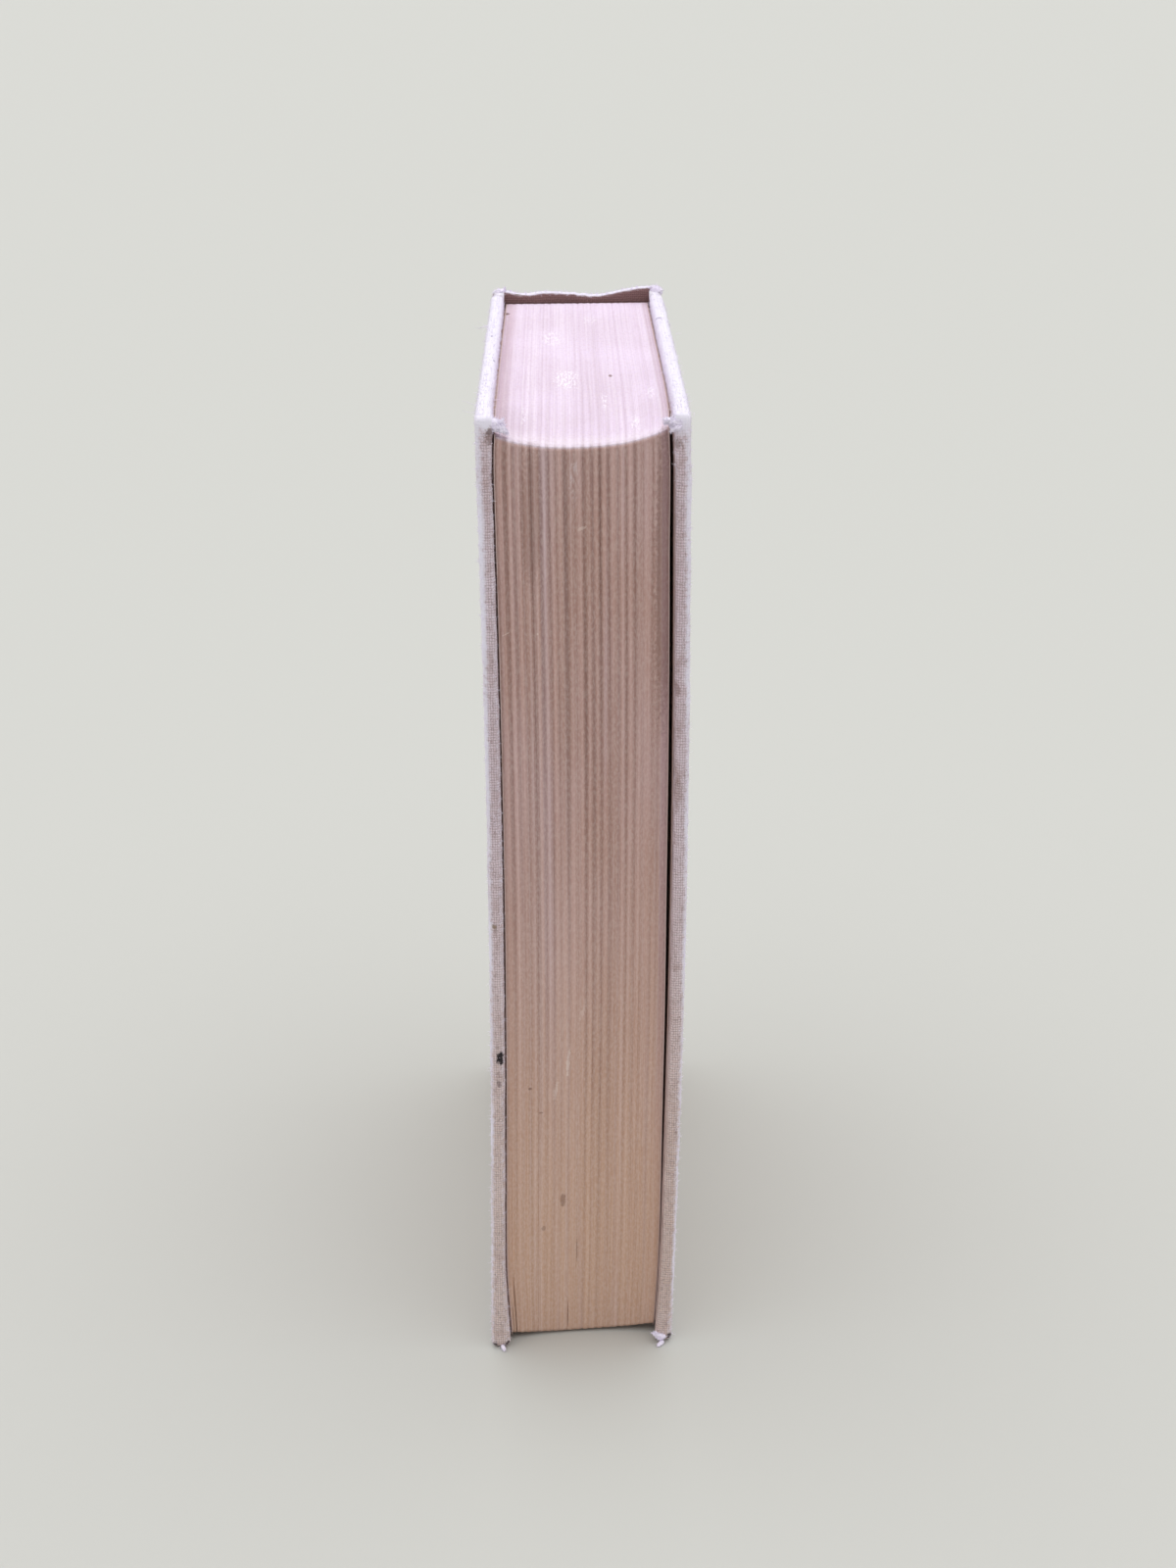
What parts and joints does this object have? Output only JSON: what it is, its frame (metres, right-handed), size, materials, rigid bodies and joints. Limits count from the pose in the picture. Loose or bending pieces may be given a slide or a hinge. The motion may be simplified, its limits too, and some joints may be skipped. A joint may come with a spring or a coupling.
{
  "type": "hardcover book",
  "caption": "Old cloth-bound hardcover book with a flat back, standing on its tail: sagging page block in sewn gatherings, cased in cloth-covered boards that open on cloth hinges.",
  "frame": {"origin": "middle of the footprint, on the surface that the book stands on", "axes": "+Z from tail to head, +X through the thickness from the front cover to the rear cover, +Y from the fore edge to the spine"},
  "size_m": [0.04, 0.1298, 0.207],
  "materials": {
    "pages": "matt, toned with age",
    "endpaper": "matt, toned with age",
    "lining": "open weave, glued",
    "board": "matt",
    "cloth": "matt plain weave, worn"
  },
  "bodies": {
    "text_block": {"page_block": "pages", "front_flyleaf": "endpaper", "rear_flyleaf": "endpaper", "spine_lining": "lining", "spine_strip": "board", "spine_cloth": "cloth"},
    "front_cover": {"front_board": "board", "front_cloth": "cloth", "front_pastedown": "endpaper"},
    "rear_cover": {"rear_board": "board", "rear_cloth": "cloth", "rear_pastedown": "endpaper"}
  },
  "joints": [
    {"name": "front_cover_hinge", "type": "hinge", "parent": "text_block", "child": "front_cover", "pos_m": [-0.02, 0.0589, 0.1035], "axis": [0, 0, -1], "range_deg": [0, 175]},
    {"name": "rear_cover_hinge", "type": "hinge", "parent": "text_block", "child": "rear_cover", "pos_m": [0.02, 0.0608, 0.1035], "axis": [0, 0, 1], "range_deg": [0, 175]}
  ]
}
